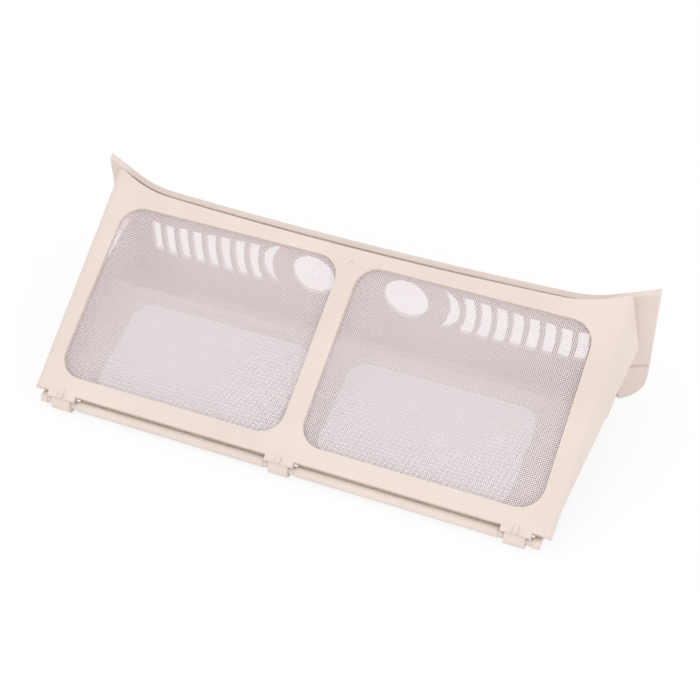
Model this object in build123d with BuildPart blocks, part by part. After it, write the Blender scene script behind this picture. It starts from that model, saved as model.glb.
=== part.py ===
from build123d import *
import os
from math import atan2, cos, radians, sin, tan

# Lint filter lying on its back: a lower rear half with a grille wall, and a front half hinged along one edge.
# Origin: middle of the flat foot under the grille wall, X along the wall, Z up.

# How the two halves lie
panel_tilt = 29.0
panel_foot_y = -103.8
panel_foot_z = 8.96
hinge_y = -100.0
hinge_z = 4.2
rear_slope = 13.8

# Front panel
panel_bottom = 4.0
panel_half_bottom = 135.0
panel_half_top = 138.7
panel_top = 134.0
panel_thick = 2.5
panel_edge_radius = 4.0
side_draft = 12.0
side_wall = 2.2
side_low_depth = 4.6
return_depth = 4.8

# Front windows and the mesh behind them
window_in = 5.1
window_side_bar = 8.4
window_low = 13.5
window_high = 110.0
window_radius = 12.0
mesh_thick = 0.4
mesh_margin = 3.0
gate_mark_radius = 1.6
gate_mark_depth = 0.4

# Hinge
clip_spacing = 119.5
clip_width = 10.0
clip_outer = 4.2
rod_radius = 2.2
clip_play = 0.15
carrier_width = 15.0
rail_radius = 2.6
notch_width = 17.0
notch_reach = 8.0
gusset_height = 7.0
gusset_out = 1.8
gusset_width = 2.0

# Grille wall, seen from above
wall_half = 150.0
wall_mid_y = 2.2
wall_flare = 42.0
wall_turn_y = 4.2
wall_end_radius = 60.0
wall_end_turn = 25.0
wall_thick = 2.4
wall_corner_radius = 12.0
pad_height = 21.0
pad_proud = 1.2
pad_length = 12.0

# Top edge of the front half, seen from above
edge_mid_y = -1.5
edge_flare = 45.0
edge_turn_y = 0.5
edge_end_radius = 75.0
edge_end_turn = 19.0

# Rim along the top of the grille wall, seen from above
rim_mid_y = 5.9
rim_turn_y = 7.6
rim_end_radius = 75.0
rim_end_turn = 18.0
rim_thick = 2.6
rim_depth = 8.0
rim_height = 7.5
shelf_thick = 2.2

# Finger holes and crescent slots
finger_x = 25.6
finger_z = 37.9
finger_radius = 12.0
slot_count = 9
slot_first = 29.0
slot_pitch = 8.3
slot_width = 5.6
slot_low = 24.5
slot_high_near = 50.0
slot_high_far = 42.5
crescent_radius = 14.0
crescent_bite = 18.0
crescent_width = 5.6

# Rear panel, ledge and foot
rear_thick = 2.4
rear_length = 77.0
rear_half_low = 131.5
rear_half_high = 136.5
upstand = 6.0
upstand_start = 14.0
upstand_thick = 1.8
ledge_foot_y = -4.0
trough_inset = 13.0
cheek_thick = 2.2
cheek_drop = 1.567
rear_window_in = 11.0
rear_window_out = 110.0
rear_window_low = 13.0
rear_window_high = 70.0
rear_window_radius = 10.0
vent_length = 11.0
vent_width = 3.8
vent_y = -13.5

# Where the flares, pads and trough end, measured in from the wall's ends, and the windows from the panel's sides
wall_turn_x = wall_half - wall_flare
edge_turn_x = wall_half - edge_flare
pad_start = wall_half - pad_length
trough_half = wall_half - trough_inset
window_out = min(panel_half_bottom, panel_half_top) - window_side_bar

# Planes of the two panels
tilt = radians(panel_tilt)
slope = radians(rear_slope)
panel = Plane(origin=(0, panel_foot_y, panel_foot_z), x_dir=(1, 0, 0), z_dir=(0, -sin(tilt), cos(tilt)))
rear = Plane(origin=(0, hinge_y, hinge_z), x_dir=(1, 0, 0), z_dir=(0, -sin(slope), cos(slope)))


# Plan curves: a shallow arc, a tighter arc flaring back at each end, and a straight run out to the tip
class PlanCurve:
    def __init__(self, mid_y, turn_x, turn_y, end_radius, end_turn, reach):
        rise = turn_y - mid_y
        self.reach = reach
        self.main_radius = (turn_x**2 + rise**2) / (2 * rise)
        self.main_centre = mid_y + self.main_radius
        self.end_radius = end_radius
        self.start = atan2(turn_x, self.main_centre - turn_y)
        self.end = self.start + radians(end_turn)
        self.end_x = turn_x - end_radius * sin(self.start)
        self.end_y = turn_y + end_radius * cos(self.start)

    def middle(self, offset):
        return (0, self.main_centre - self.main_radius - offset)

    def point(self, offset, angle, side):
        radius = self.end_radius + offset
        return (side * (self.end_x + radius * sin(angle)), self.end_y - radius * cos(angle))

    def tip(self, offset, side):
        end_x, end_y = self.point(offset, self.end, 1)
        return (side * self.reach, end_y + (self.reach - end_x) * tan(self.end))

    def draw(self, offset):
        mid_angle = (self.start + self.end) / 2
        left = self.point(offset, self.start, -1)
        left_end = self.point(offset, self.end, -1)
        right = self.point(offset, self.start, 1)
        right_end = self.point(offset, self.end, 1)
        Line(self.tip(offset, -1), left_end)
        ThreePointArc(left_end, self.point(offset, mid_angle, -1), left)
        ThreePointArc(left, self.middle(offset), right)
        ThreePointArc(right, self.point(offset, mid_angle, 1), right_end)
        Line(right_end, self.tip(offset, 1))

    def draw_beyond(self, offset, far):
        self.draw(offset)
        left = self.tip(offset, -1)
        right = self.tip(offset, 1)
        Polyline(left, (left[0] - far, left[1]), (left[0] - far, left[1] + far),
                 (right[0] + far, left[1] + far), (right[0] + far, right[1]), right)


wall_curve = PlanCurve(wall_mid_y, wall_turn_x, wall_turn_y, wall_end_radius, wall_end_turn, wall_half)
edge_curve = PlanCurve(edge_mid_y, edge_turn_x, edge_turn_y, edge_end_radius, edge_end_turn, wall_half)
rim_curve = PlanCurve(rim_mid_y, wall_turn_x, rim_turn_y, rim_end_radius, rim_end_turn, wall_half)


def draw_ring(inner, inner_offset, outer, outer_offset):
    inner.draw(inner_offset)
    outer.draw(outer_offset)
    Line(inner.tip(inner_offset, -1), outer.tip(outer_offset, -1))
    Line(inner.tip(inner_offset, 1), outer.tip(outer_offset, 1))


# Derived sizes
window_mid_x = (window_in + window_out) / 2
window_mid_y = (window_low + window_high) / 2
window_wide = window_out - window_in
window_tall = window_high - window_low
rear_mid_x = (rear_window_in + rear_window_out) / 2
rear_mid_y = (rear_window_low + rear_window_high) / 2
rear_wide = rear_window_out - rear_window_in
rear_tall = rear_window_high - rear_window_low
slot_far = finger_x + slot_first + (slot_count - 1) * slot_pitch + slot_width
axis_local_y = (hinge_y - panel_foot_y) * cos(tilt) + (hinge_z - panel_foot_z) * sin(tilt)
axis_local_z = (hinge_z - panel_foot_z) * cos(tilt) - (hinge_y - panel_foot_y) * sin(tilt)
crest_y = hinge_y + rear_length * cos(slope)
crest_z = hinge_z + rear_length * sin(slope)
cheek_top = crest_z - cheek_drop
rear_half_start = rear_half_low + (rear_half_high - rear_half_low) * upstand_start / rear_length

# Side wall plane: through the panel's side edge, leaning outwards by the draft
edge_long = ((panel_half_top - panel_half_bottom)**2 + (panel_top - panel_bottom)**2)**0.5
draft = radians(side_draft)
parting_fall = tan(tilt - slope)
side_high_depth = (1.0 + parting_fall * (panel_top - panel_bottom)) / cos(draft)
side_low = panel.from_local_coords(Vector(panel_half_bottom, panel_bottom, 0))
side_high = panel.from_local_coords(Vector(panel_half_top, panel_top, 0))
side_back = panel.from_local_coords(Vector(panel_half_bottom + sin(draft), panel_bottom, -cos(draft)))
side_edge = side_high - side_low
side_plane = Plane(origin=side_low, x_dir=side_edge, z_dir=side_edge.cross(side_back - side_low))

# One drafted side wall of the front half
with BuildPart() as side_plate:
    with BuildSketch(side_plane):
        with BuildLine():
            Polyline(
                (0, 0),
                (0, side_low_depth),
                (15, side_low_depth),
                (edge_long, side_high_depth),
                (edge_long, 0),
                (0, 0),
            )
        make_face()
    extrude(amount=side_wall)

# Front frame: flat panel with two windows, side walls, bottom return and three hinge clips
with BuildPart() as front_frame:
    with BuildSketch(panel.offset(-panel_thick)):
        with BuildLine():
            Polyline(
                (-panel_half_top, panel_top),
                (panel_half_top, panel_top),
                (panel_half_bottom, panel_bottom),
                (-panel_half_bottom, panel_bottom),
                (-panel_half_top, panel_top),
            )
        make_face()
    extrude(amount=panel_thick)
    add(side_plate.part)
    mirror(side_plate.part, about=Plane.YZ)
    side_mid = (panel_half_bottom + panel_half_top) / 2
    ridges = front_frame.edges().filter_by(
        lambda e: abs(abs(e.center().X) - side_mid) < 0.1 and abs(panel.to_local_coords(e.center()).Z) < 0.1
    )
    fillet(ridges, panel_edge_radius)
    with BuildSketch(Plane.XY):
        with BuildLine():
            edge_curve.draw_beyond(0, 60)
        make_face()
    extrude(amount=150, mode=Mode.SUBTRACT)
    with BuildSketch(panel.offset(-return_depth)):
        with Locations((0, panel_bottom + side_wall / 2)):
            Rectangle(2 * panel_half_bottom - 2 * side_wall, side_wall)
    extrude(amount=return_depth - panel_thick / 2)
    with BuildSketch(panel.offset(-panel_thick)):
        with Locations((-window_mid_x, window_mid_y), (window_mid_x, window_mid_y)):
            RectangleRounded(window_wide, window_tall, window_radius)
    extrude(amount=panel_thick, mode=Mode.SUBTRACT)
    with BuildSketch(panel.offset(-panel_thick)):
        with Locations((-window_mid_x, window_mid_y), (window_mid_x, window_mid_y)):
            RectangleRounded(
                window_wide + 2 * mesh_margin, window_tall + 2 * mesh_margin, window_radius + mesh_margin
            )
    extrude(amount=mesh_thick, mode=Mode.SUBTRACT)
    with BuildSketch(panel):
        with Locations((0, window_high - 1)):
            Circle(gate_mark_radius)
    extrude(amount=-gate_mark_depth, mode=Mode.SUBTRACT)
    for clip_x in (-clip_spacing, 0, clip_spacing):
        section = Plane(panel.from_local_coords((clip_x, 0, 0)), x_dir=panel.y_dir, z_dir=(1, 0, 0))
        with BuildSketch(section):
            with Locations((axis_local_y, axis_local_z)):
                Circle(clip_outer)
            with BuildLine():
                Polyline(
                    (axis_local_y, axis_local_z),
                    (axis_local_y + clip_outer, axis_local_z),
                    (panel_bottom + side_wall, -return_depth),
                    (panel_bottom + side_wall, -1.0),
                    (axis_local_y - 0.6, -1.0),
                    (axis_local_y - clip_outer, axis_local_z),
                    (axis_local_y, axis_local_z),
                )
            make_face()
        extrude(amount=clip_width / 2, both=True)
        with BuildSketch(section):
            with BuildLine():
                Polyline(
                    (axis_local_y, 0),
                    (panel_bottom + 1, 0),
                    (panel_bottom + 1, -panel_thick),
                    (axis_local_y, -panel_thick),
                    (axis_local_y, 0),
                )
            make_face()
        extrude(amount=carrier_width / 2, both=True)
        with BuildSketch(section):
            with BuildLine():
                Polyline(
                    (axis_local_y, -0.5),
                    (axis_local_y, gusset_out),
                    (axis_local_y + gusset_height, -0.5),
                    (axis_local_y, -0.5),
                )
            make_face()
        extrude(amount=gusset_width / 2, both=True)
    with BuildSketch(Plane((0, hinge_y, hinge_z), x_dir=(0, 1, 0), z_dir=(1, 0, 0))):
        Circle(rod_radius + clip_play)
        with Locations(Location((3, -3, 0), -45)):
            Rectangle(8.5, 2 * rod_radius - 0.8)
    extrude(amount=clip_spacing + clip_width, both=True, mode=Mode.SUBTRACT)

# Mesh sheets of the front half
with BuildPart() as front_mesh_left:
    with BuildSketch(panel.offset(-panel_thick)):
        with Locations((-window_mid_x, window_mid_y)):
            RectangleRounded(
                window_wide + 2 * mesh_margin, window_tall + 2 * mesh_margin, window_radius + mesh_margin
            )
    extrude(amount=mesh_thick)

with BuildPart() as front_mesh_right:
    with BuildSketch(panel.offset(-panel_thick)):
        with Locations((window_mid_x, window_mid_y)):
            RectangleRounded(
                window_wide + 2 * mesh_margin, window_tall + 2 * mesh_margin, window_radius + mesh_margin
            )
    extrude(amount=mesh_thick)

# Rim: an upstand along the top of the grille wall, parallel to the front panel
with BuildPart() as rim:
    with BuildSketch(Plane.XY):
        with BuildLine():
            draw_ring(rim_curve, 0, rim_curve, -rim_thick)
        make_face()
    extrude(amount=150)
    with BuildSketch(panel.offset(-rim_depth - rim_height)):
        with Locations((0, panel_top)):
            Rectangle(400, 120)
    extrude(amount=rim_height, mode=Mode.INTERSECT)

# Shelf: joins the wall to the foot of the rim
with BuildPart() as shelf:
    with BuildSketch(Plane.XY):
        with BuildLine():
            draw_ring(wall_curve, 0, rim_curve, -rim_thick)
        make_face()
    extrude(amount=150)
    with BuildSketch(panel.offset(-rim_depth - rim_height)):
        with Locations((0, panel_top)):
            Rectangle(400, 120)
    extrude(amount=shelf_thick, mode=Mode.INTERSECT)

# Grille wall: upright curved wall up to the shelf, with a raised pad round each end
with BuildPart() as wall:
    with BuildSketch(Plane.XY):
        with BuildLine():
            draw_ring(wall_curve, 0, wall_curve, -wall_thick)
        make_face()
    extrude(amount=150)
    with BuildSketch(panel.offset(-rim_depth - rim_height + shelf_thick / 2)):
        with Locations((0, panel_top)):
            Rectangle(400, 300)
    extrude(amount=150, mode=Mode.SUBTRACT)
    with BuildSketch(Plane.XY):
        with BuildLine():
            draw_ring(wall_curve, pad_proud, wall_curve, -wall_thick / 2)
        make_face()
        Rectangle(2 * pad_start, 400, mode=Mode.SUBTRACT)
    extrude(amount=pad_height)
    with BuildSketch(Plane.XZ):
        with Locations((0, 75)):
            RectangleRounded(2 * wall_half, 150, wall_corner_radius)
    extrude(amount=60, both=True, mode=Mode.INTERSECT)

# Cheek: the upright plate that closes one end of the trough
with BuildPart() as cheek:
    with BuildSketch(Plane.YZ.offset(trough_half - cheek_thick)):
        with BuildLine():
            Polyline(
                (crest_y, crest_z - rear_thick),
                (crest_y, cheek_top),
                (wall_curve.tip(0, 1)[1], cheek_top),
                (wall_curve.tip(0, 1)[1], 0),
                (ledge_foot_y, 0),
                (crest_y, crest_z - rear_thick),
            )
        make_face()
    extrude(amount=cheek_thick)
    with BuildSketch(Plane.XY):
        with BuildLine():
            wall_curve.draw_beyond(-wall_thick / 2, 60)
        make_face()
    extrude(amount=2 * cheek_top, mode=Mode.SUBTRACT)

# Rear frame: rear panel with two windows, hinge rail, ledge, foot, grille wall and lip
with BuildPart() as rear_frame:
    with BuildSketch(rear.offset(-rear_thick / 2)):
        with BuildLine():
            Polyline(
                (-rear_half_low, 0),
                (rear_half_low, 0),
                (rear_half_high, rear_length),
                (-rear_half_high, rear_length),
                (-rear_half_low, 0),
            )
        make_face()
    extrude(amount=rear_thick)
    with BuildSketch(rear.offset(-rear_thick / 2)):
        for side in (-1, 1):
            with BuildLine():
                Polyline(
                    (side * (rear_half_start - upstand_thick), upstand_start),
                    (side * rear_half_start, upstand_start),
                    (side * rear_half_high, rear_length),
                    (side * (rear_half_high - upstand_thick), rear_length),
                    (side * (rear_half_start - upstand_thick), upstand_start),
                )
            make_face()
    extrude(amount=upstand)
    with BuildSketch(rear.offset(-rear_thick / 2)):
        with Locations((-rear_mid_x, rear_mid_y), (rear_mid_x, rear_mid_y)):
            RectangleRounded(rear_wide, rear_tall, rear_window_radius)
    extrude(amount=rear_thick, mode=Mode.SUBTRACT)
    with BuildSketch(rear.offset(rear_thick / 2 - mesh_thick)):
        with Locations((-rear_mid_x, rear_mid_y), (rear_mid_x, rear_mid_y)):
            RectangleRounded(
                rear_wide + 2 * mesh_margin, rear_tall + 2 * mesh_margin, rear_window_radius + mesh_margin
            )
    extrude(amount=mesh_thick, mode=Mode.SUBTRACT)
    with BuildSketch(Plane.YZ):
        with Locations((hinge_y, hinge_z)):
            Circle(rail_radius)
    extrude(amount=rear_half_low, both=True)
    with BuildSketch(Plane.XY.offset(-5)):
        with Locations((-clip_spacing, hinge_y), (0, hinge_y), (clip_spacing, hinge_y)):
            Rectangle(notch_width, 2 * notch_reach)
    extrude(amount=30, mode=Mode.SUBTRACT)
    with BuildSketch(Plane.YZ):
        with Locations((hinge_y, hinge_z)):
            Circle(rod_radius)
    extrude(amount=rear_half_low, both=True)
    with BuildSketch(Plane.YZ):
        with BuildLine():
            Polyline(
                (crest_y - 3, crest_z - rear_thick / 2 - 0.6),
                (crest_y, crest_z + rear_thick / 2),
                (ledge_foot_y + 2, rear_thick),
                (wall_mid_y + 1, rear_thick),
                (wall_mid_y + 1, 0),
                (ledge_foot_y, 0),
                (crest_y - 0.6, crest_z - rear_thick / 2 - 0.6),
                (crest_y - 3, crest_z - rear_thick / 2 - 0.6),
            )
        make_face()
    extrude(amount=trough_half, both=True)
    add(cheek.part)
    mirror(cheek.part, about=Plane.YZ)
    with BuildSketch(Plane.XY):
        with BuildLine():
            wall_curve.draw(-wall_thick / 2)
            foot_left = wall_curve.tip(-wall_thick / 2, -1)
            foot_right = wall_curve.tip(-wall_thick / 2, 1)
            Polyline(
                foot_right, (foot_right[0], ledge_foot_y), (foot_left[0], ledge_foot_y), foot_left
            )
        make_face()
        Rectangle(2 * trough_half, 4 * wall_end_radius, mode=Mode.INTERSECT)
    extrude(amount=rear_thick)
    add(wall.part)
    add(shelf.part)
    add(rim.part)
    with BuildSketch(Plane.XZ):
        with Locations((-finger_x, finger_z), (finger_x, finger_z)):
            Circle(finger_radius)
    extrude(amount=30, both=True, mode=Mode.SUBTRACT)
    for side in (-1, 1):
        with BuildSketch(Plane.XZ):
            for step in reversed(range(1, slot_count)):
                with Locations((side * finger_x, finger_z)):
                    Circle(slot_first + step * slot_pitch)
                    Circle(slot_first + step * slot_pitch - slot_width, mode=Mode.SUBTRACT)
            with BuildLine():
                Polyline(
                    (side * (finger_x + finger_radius), slot_low),
                    (side * slot_far, slot_low),
                    (side * slot_far, slot_high_far),
                    (side * (finger_x + finger_radius), slot_high_near),
                    (side * (finger_x + finger_radius), slot_low),
                )
            make_face(mode=Mode.INTERSECT)
        extrude(amount=30, both=True, mode=Mode.SUBTRACT)
        with BuildSketch(Plane.XZ):
            with Locations((side * (finger_x + slot_first - crescent_radius), finger_z)):
                Circle(crescent_radius)
            with Locations((side * (finger_x + slot_first - crescent_width - crescent_bite), finger_z)):
                Circle(crescent_bite, mode=Mode.SUBTRACT)
        extrude(amount=30, both=True, mode=Mode.SUBTRACT)
        with BuildSketch(Plane.XY):
            for step in range(1, slot_count):
                with Locations((side * (finger_x + slot_first - slot_width / 2 + step * slot_pitch), vent_y)):
                    Rectangle(vent_width, vent_length)
        extrude(amount=crest_z + rear_thick, mode=Mode.SUBTRACT)

# Mesh sheets of the rear half
with BuildPart() as rear_mesh_left:
    with BuildSketch(rear.offset(rear_thick / 2 - mesh_thick)):
        with Locations((-rear_mid_x, rear_mid_y)):
            RectangleRounded(
                rear_wide + 2 * mesh_margin, rear_tall + 2 * mesh_margin, rear_window_radius + mesh_margin
            )
    extrude(amount=mesh_thick)

with BuildPart() as rear_mesh_right:
    with BuildSketch(rear.offset(rear_thick / 2 - mesh_thick)):
        with Locations((rear_mid_x, rear_mid_y)):
            RectangleRounded(
                rear_wide + 2 * mesh_margin, rear_tall + 2 * mesh_margin, rear_window_radius + mesh_margin
            )
    extrude(amount=mesh_thick)

os.makedirs("parts", exist_ok=True)
front_frame.part.label = "front_frame"
export_step(front_frame.part, "parts/front_frame.step")
front_mesh_left.part.label = "front_mesh_left"
export_step(front_mesh_left.part, "parts/front_mesh_left.step")
front_mesh_right.part.label = "front_mesh_right"
export_step(front_mesh_right.part, "parts/front_mesh_right.step")
rear_frame.part.label = "rear_frame"
export_step(rear_frame.part, "parts/rear_frame.step")
rear_mesh_left.part.label = "rear_mesh_left"
export_step(rear_mesh_left.part, "parts/rear_mesh_left.step")
rear_mesh_right.part.label = "rear_mesh_right"
export_step(rear_mesh_right.part, "parts/rear_mesh_right.step")
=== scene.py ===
import bpy
import math
import numpy as np
from mathutils import Matrix, Vector


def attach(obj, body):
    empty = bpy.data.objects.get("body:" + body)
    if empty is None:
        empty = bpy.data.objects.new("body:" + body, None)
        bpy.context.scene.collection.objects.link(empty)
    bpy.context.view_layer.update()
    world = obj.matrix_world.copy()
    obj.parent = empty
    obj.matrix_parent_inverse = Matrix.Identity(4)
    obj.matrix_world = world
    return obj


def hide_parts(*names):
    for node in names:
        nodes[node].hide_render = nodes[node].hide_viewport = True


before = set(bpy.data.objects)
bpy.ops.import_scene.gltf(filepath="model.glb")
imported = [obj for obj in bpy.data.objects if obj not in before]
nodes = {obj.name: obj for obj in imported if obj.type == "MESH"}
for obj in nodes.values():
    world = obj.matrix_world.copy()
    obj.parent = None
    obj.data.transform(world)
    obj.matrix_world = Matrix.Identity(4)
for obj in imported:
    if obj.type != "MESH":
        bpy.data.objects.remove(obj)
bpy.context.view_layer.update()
scene = bpy.context.scene
sides = ((-1, "left"), (1, "right"))
print("frame loaded:", sorted(nodes))


def tiltedAxes(degrees):
    # right, up along the panel, out of its face
    a = math.radians(degrees)
    return np.array([[1, 0, 0], [0, math.cos(a), math.sin(a)], [0, -math.sin(a), math.cos(a)]])


def linkPiece(name, points, faces, material, body):
    mesh = bpy.data.meshes.new(name)
    mesh.vertices.add(len(points))
    mesh.vertices.foreach_set("co", points.astype(np.float32).ravel())
    mesh.loops.add(faces.size)
    mesh.loops.foreach_set("vertex_index", faces.astype(np.int32).ravel())
    mesh.polygons.add(len(faces))
    mesh.polygons.foreach_set("loop_start", np.arange(0, faces.size, faces.shape[1], dtype=np.int32))
    mesh.update(calc_edges=True)
    mesh.validate()
    piece = bpy.data.objects.new(name, mesh)
    scene.collection.objects.link(piece)
    mesh.materials.append(material)
    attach(piece, body)
    return piece


def newMaterial(name):
    material = bpy.data.materials.new(name)
    material.use_nodes = True
    return material, material.node_tree.nodes, material.node_tree.links


def newNoise(n, settings):
    noise = n.new("ShaderNodeTexNoise")
    for label, value in settings.items():
        noise.inputs[label].default_value = value
    return noise


def toneMix(n, deep, light):
    tone = n.new("ShaderNodeMix")
    tone.data_type = "RGBA"
    tone.inputs[6].default_value = (*deep, 1)
    tone.inputs[7].default_value = (*light, 1)
    return tone


# beige moulding: its two tones, the range of its roughness, and the noise that clouds and grains it
plastic = {
    "light": (0.760, 0.656, 0.598), "deep": (0.722, 0.617, 0.560), "rough": (0.40, 0.56),
    "frontGrain": 1400.0, "rearGrain": 1120.0, "cloudSize": 26.0, "cloudRange": (0.3, 0.62),
    "grain": {"Detail": 3.0, "Roughness": 0.6}, "cloud": {"Detail": 4.0},
    "flow": {"Scale": 140.0, "Detail": 2.0}, "flowStretch": (0.25, 1.0, 1.0),
    "bumpHeight": 0.00006, "bumpStrength": 0.35, "ior": 1.49, "specular": 0.4,
}


# shader group for both plastics: fine grain, broad cloud, and flow along the frame
def grainGroup():
    group = bpy.data.node_groups.new("mouldGrain", "ShaderNodeTree")
    face = group.interface
    for label, value in (("Grain Size", plastic["frontGrain"]), ("Cloud Size", plastic["cloudSize"])):
        face.new_socket(label, in_out="INPUT", socket_type="NodeSocketFloat").default_value = value
    for label in ("Grain", "Cloud", "Flow"):
        face.new_socket(label, in_out="OUTPUT", socket_type="NodeSocketFloat")
    n, l = group.nodes, group.links
    enter, leave = n.new("NodeGroupInput"), n.new("NodeGroupOutput")
    where = n.new("ShaderNodeTexCoord")
    grain, cloud, flow = (newNoise(n, plastic[kind]) for kind in ("grain", "cloud", "flow"))
    stretch = n.new("ShaderNodeMapping")
    stretch.inputs["Scale"].default_value = plastic["flowStretch"]  # the melt ran along the frame
    for noise, label in ((grain, "Grain Size"), (cloud, "Cloud Size")):
        l.new(where.outputs["Object"], noise.inputs["Vector"])
        l.new(enter.outputs[label], noise.inputs["Scale"])
    l.new(where.outputs["Object"], stretch.inputs["Vector"])
    l.new(stretch.outputs["Vector"], flow.inputs["Vector"])
    for noise, label in ((grain, "Grain"), (cloud, "Cloud"), (flow, "Flow")):
        l.new(noise.outputs["Fac"], leave.inputs[label])
    return group


mouldGrain = grainGroup()


def plasticMaterial(name, grainSize):
    material, n, l = newMaterial(name)
    shader = n["Principled BSDF"]
    mould = n.new("ShaderNodeGroup")
    mould.node_tree = mouldGrain
    mould.inputs["Grain Size"].default_value = grainSize
    mould.inputs["Cloud Size"].default_value = plastic["cloudSize"]
    tone = toneMix(n, plastic["deep"], plastic["light"])
    spread = n.new("ShaderNodeMapRange")
    spread.inputs["From Min"].default_value, spread.inputs["From Max"].default_value = plastic["cloudRange"]
    gloss = n.new("ShaderNodeMapRange")
    gloss.inputs["To Min"].default_value, gloss.inputs["To Max"].default_value = plastic["rough"]
    bump = n.new("ShaderNodeBump")
    bump.inputs["Strength"].default_value = plastic["bumpStrength"]
    bump.inputs["Distance"].default_value = plastic["bumpHeight"]
    l.new(mould.outputs["Cloud"], spread.inputs["Value"])
    l.new(spread.outputs["Result"], tone.inputs[0])
    l.new(tone.outputs[2], shader.inputs["Base Color"])
    l.new(mould.outputs["Flow"], gloss.inputs["Value"])
    l.new(gloss.outputs["Result"], shader.inputs["Roughness"])
    l.new(mould.outputs["Grain"], bump.inputs["Height"])
    l.new(bump.outputs["Normal"], shader.inputs["Normal"])
    shader.inputs["IOR"].default_value = plastic["ior"]
    shader.inputs["Specular IOR Level"].default_value = plastic["specular"]
    return material


def dress(node, material):
    mesh = nodes[node].data
    mesh.materials.clear()
    mesh.materials.append(material)


rearPlastic = plasticMaterial("beigeRearMoulding", plastic["rearGrain"])
dress("front_frame", plasticMaterial("beigeFrontMoulding", plastic["frontGrain"]))
dress("rear_frame", rearPlastic)
print("frames dressed in beige moulding")

# the cheeks' upper part, in metres: the x of its two faces, 0.1 mm inside the moulded cheek's,
# and y and z from the crest to the wall, with its top just under the front half's lower edge
cheek = {
    "inner": 0.1349, "outer": 0.1369,
    "outline": ((-0.0262, 0.0205), (0.0130, 0.0195), (0.0130, 0.0370), (-0.0272, 0.0274)),
}


def cheekRise(name, side):
    # a flat plate: the outline at the inner x and again at the outer x
    outline = np.array(cheek["outline"])
    count = len(outline)
    points = np.concatenate([
        np.column_stack([np.full(count, side * cheek[face]), outline]) for face in ("inner", "outer")
    ])
    i = np.arange(count)
    j = (i + 1) % count
    faces = np.concatenate([[i[::-1], i + count], np.stack([i, j, j + count, i + count], axis=1)])
    piece = linkPiece(name, points, faces[:, ::side], rearPlastic, "rear")
    piece.data.shade_flat()


for side, word in sides:
    cheekRise("cheek_rise_" + word, side)
print("cheeks raised to the front half's lower edge")

# the thread: its width as a share of the pitch, its rise at a crossing and half its thickness in metres,
# its three corners across and up as shares of those, its tones, and the share of light it lets through
weave = {
    "fill": 0.42, "rise": 0.0001, "half": 0.0001, "feet": (-0.5, 0.5, 0.0), "lift": (-0.6, -0.6, 1.0),
    "light": (0.96, 0.87, 0.885), "deep": (0.93, 0.84, 0.865), "patch": {"Scale": 60.0, "Detail": 3.0},
    "rough": 0.62, "sheen": 0.15, "letsThrough": 0.85,
}


def threadMaterial():
    material, n, l = newMaterial("lavenderThread")
    shader = n["Principled BSDF"]
    where = n.new("ShaderNodeTexCoord")
    patch = newNoise(n, weave["patch"])
    tone = toneMix(n, weave["deep"], weave["light"])
    l.new(where.outputs["Object"], patch.inputs["Vector"])
    l.new(patch.outputs["Fac"], tone.inputs[0])
    l.new(tone.outputs[2], shader.inputs["Base Color"])
    shader.inputs["Roughness"].default_value = weave["rough"]
    shader.inputs["Sheen Weight"].default_value = weave["sheen"]
    # thin polyester lets most of the light through:
    # alpha = 1 - letsThrough on a ray to a lamp, and 1 on any other
    rays = n.new("ShaderNodeLightPath")
    cover = n.new("ShaderNodeMapRange")
    cover.inputs["To Min"].default_value = 1.0
    cover.inputs["To Max"].default_value = 1 - weave["letsThrough"]
    l.new(rays.outputs["Is Shadow Ray"], cover.inputs["Value"])
    l.new(cover.outputs["Result"], shader.inputs["Alpha"])
    return material


thread = threadMaterial()


def threads(wide, tall, radius, phase, pitch):
    # one set of threads along u: centre line w = rise * cos(pi * (crossing + thread + phase))
    # half length at v: wide/2, and past tall/2 - radius it follows the corner circle
    countU, countV = int(wide / pitch), int(tall / pitch)
    v = (np.arange(countV) + 0.5) * (tall / countV) - tall / 2
    over = np.clip(np.abs(v) - (tall / 2 - radius), 0, radius)
    half = wide / 2 - radius + np.sqrt(np.maximum(radius**2 - over**2, 0))
    s = np.linspace(-1, 1, countU + 1)
    u = half[:, None] * s[None, :]
    crossing = np.arange(countU + 1)[None, :] + np.arange(countV)[:, None] + phase
    w = weave["rise"] * np.cos(math.pi * crossing)
    # three-sided thread: a ridge above and two feet below
    feet = np.array(weave["feet"]) * weave["fill"] * pitch
    lift = np.array(weave["lift"]) * weave["half"]
    grid = np.stack([
        np.broadcast_to(u[:, :, None], (*u.shape, 3)),
        v[:, None, None] + np.broadcast_to(feet, (*u.shape, 3)),
        w[:, :, None] + lift,
    ], axis=-1)
    index = np.arange(u.size * 3).reshape(*u.shape, 3)
    a, b = index[:, :-1], index[:, 1:]
    a2, b2 = np.roll(a, -1, axis=2), np.roll(b, -1, axis=2)
    lower = np.stack([a, a2, b], -1).reshape(-1, 3)
    upper = np.stack([b, a2, b2], -1).reshape(-1, 3)
    ends = np.concatenate([index[:, 0, ::-1], index[:, -1]])  # a cut face closes each thread
    return grid.reshape(-1, 3), np.concatenate([lower, upper, ends])


def wovenSheet(pane, side, word):
    # warp runs along the panel's length and weft across it; each passes over and under the other in turn
    wide, tall, radius = pane["size"]
    alongPoints, alongFaces = threads(wide, tall, radius, 0, pane["pitch"])
    crossPoints, crossFaces = threads(tall, wide, radius, 1, pane["pitch"])
    across, up = pane["middle"]
    local = np.concatenate([alongPoints, crossPoints[:, [1, 0, 2]]])
    local = local + np.array([side * across, up, pane["depth"]])
    points = local @ tiltedAxes(pane["tilt"]) + np.array(pane["foot"])
    faces = np.concatenate([alongFaces, crossFaces[:, ::-1] + len(alongPoints)])
    piece = linkPiece(pane["piece"] + word, points, faces, thread, pane["body"])
    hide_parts(pane["node"] + word)


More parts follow.
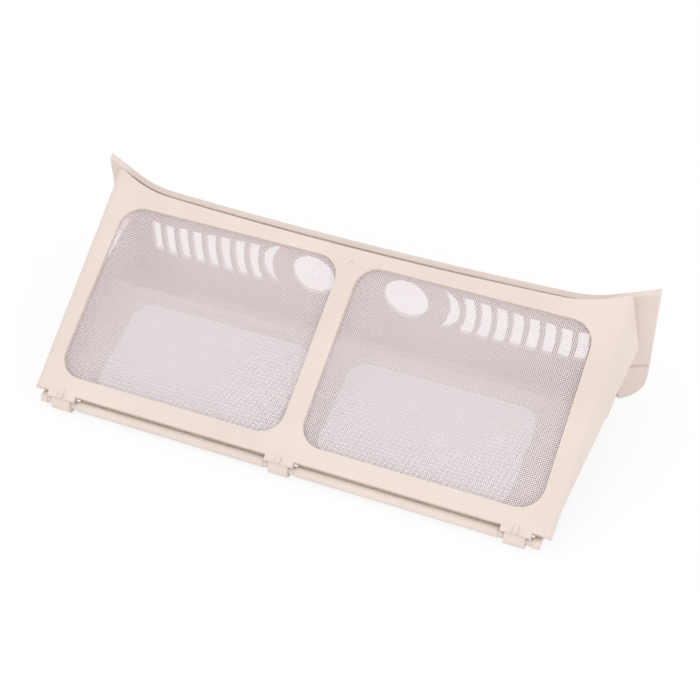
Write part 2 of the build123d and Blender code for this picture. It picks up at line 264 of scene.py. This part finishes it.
# each opening's mesh, in metres and degrees as in the part's source: how its panel lies and starts,
# its middle there, its width, height and corner radius (3 mm past the opening), its depth and pitch
frontPane = {
    "piece": "front_weave_", "node": "front_mesh_", "body": "front", "carrier": "front_frame",
    "tilt": 29.0, "foot": (0.0, -0.1038, 0.00896),
    "middle": (0.06585, 0.06175), "size": (0.1275, 0.1025, 0.015), "depth": -0.0023, "pitch": 0.0009,
}
rearPane = {
    "piece": "rear_weave_", "node": "rear_mesh_", "body": "rear", "carrier": "rear_frame",
    "tilt": 13.8, "foot": (0.0, -0.1, 0.0042),
    "middle": (0.0605, 0.0415), "size": (0.105, 0.063, 0.013), "depth": 0.001, "pitch": 0.00069,
}
for side, word in sides:
    for pane in (frontPane, rearPane):
        wovenSheet(pane, side, word)
print("mesh woven in four openings")

# pale floor, white to the camera, with the filter's soft shadow; a white room; two lamps with place and power
studio = {
    "floor": 6.0, "drop": 0.0002, "floorTone": (0.92, 0.92, 0.92), "floorRough": 0.9, "floorSpecular": 0.1,
    "white": 0.85, "roomTone": (1, 1, 1), "room": 1.0, "aim": (0, -0.04, 0.03), "lampSize": 0.9,
    "keyLamp": ((-0.7, -0.6, 1.3), 2.3), "fillLamp": ((1.1, -0.7, 0.7), 2.6),
}


def floorPiece():
    # flat square, z just under the foot
    s = studio["floor"] * np.array([-0.5, 0.5])
    x, y = np.meshgrid(s, s, indexing="ij")
    points = np.stack([x.ravel(), y.ravel(), np.full(x.size, -studio["drop"])], axis=1)
    mesh = bpy.data.meshes.new("paleFloor")
    mesh.from_pydata(points.tolist(), [], [(0, 2, 3, 1)])
    floor = bpy.data.objects.new("paleFloor", mesh)
    scene.collection.objects.link(floor)
    material, n, l = newMaterial("paleFloor")
    shader = n["Principled BSDF"]
    shader.inputs["Base Color"].default_value = (*studio["floorTone"], 1)
    shader.inputs["Roughness"].default_value = studio["floorRough"]
    shader.inputs["Specular IOR Level"].default_value = studio["floorSpecular"]
    glow = n.new("ShaderNodeEmission")
    seen = n.new("ShaderNodeLightPath")
    share = n.new("ShaderNodeMath")
    share.operation = "MULTIPLY"
    share.inputs[1].default_value = studio["white"]
    mix = n.new("ShaderNodeMixShader")
    # white to the camera, and in whatever mirrors the floor or shows it through
    ray = seen.outputs["Is Camera Ray"]
    for label in ("Is Glossy Ray", "Is Transmission Ray"):
        either = n.new("ShaderNodeMath")
        either.operation = "MAXIMUM"
        l.new(ray, either.inputs[0])
        l.new(seen.outputs[label], either.inputs[1])
        ray = either.outputs[0]
    l.new(ray, share.inputs[0])
    l.new(share.outputs[0], mix.inputs[0])
    l.new(shader.outputs[0], mix.inputs[1])
    l.new(glow.outputs[0], mix.inputs[2])
    l.new(mix.outputs[0], n["Material Output"].inputs["Surface"])
    mesh.materials.append(material)


def softLamp(name):
    place, power = studio[name]
    lamp = bpy.data.lights.new(name, "AREA")
    lamp.shape = "DISK"
    lamp.size = studio["lampSize"]
    lamp.energy = power
    holder = bpy.data.objects.new(name, lamp)
    scene.collection.objects.link(holder)
    holder.location = place
    holder.rotation_euler = (Vector(studio["aim"]) - Vector(place)).to_track_quat("-Z", "Y").to_euler()


floorPiece()
softLamp("keyLamp")
softLamp("fillLamp")
world = bpy.data.worlds.new("softRoom")
world.use_nodes = True
scene.world = world
sky = world.node_tree.nodes["Background"]
sky.inputs["Color"].default_value = (*studio["roomTone"], 1)
sky.inputs["Strength"].default_value = studio["room"]
print("floor, lamps and room set")

# camera worked out from the photograph's straight edges: its place in metres, its three axes,
# and its focal length and picture width in pixels
eye = {
    "place": (0.23362, -0.58103, 0.56893), "right": (0.92612, 0.37722, -0.00197),
    "down": (0.25327, -0.62566, -0.73784), "ahead": (-0.27956, 0.68283, -0.67497),
    "focalPixels": 1600.0, "widePixels": 700.0, "sensor": 36.0, "nearest": 0.01,
}
camera = bpy.data.objects.new("photoCamera", bpy.data.cameras.new("photoCamera"))
scene.collection.objects.link(camera)
turn = Matrix((eye["right"], [-d for d in eye["down"]], [-a for a in eye["ahead"]])).transposed()
camera.matrix_world = Matrix.Translation(eye["place"]) @ turn.to_4x4()
camera.data.sensor_width = eye["sensor"]
camera.data.lens = eye["sensor"] * eye["focalPixels"] / eye["widePixels"]
camera.data.clip_start = eye["nearest"]
scene.camera = camera
scene.view_settings.view_transform = "Standard"
print("camera set")
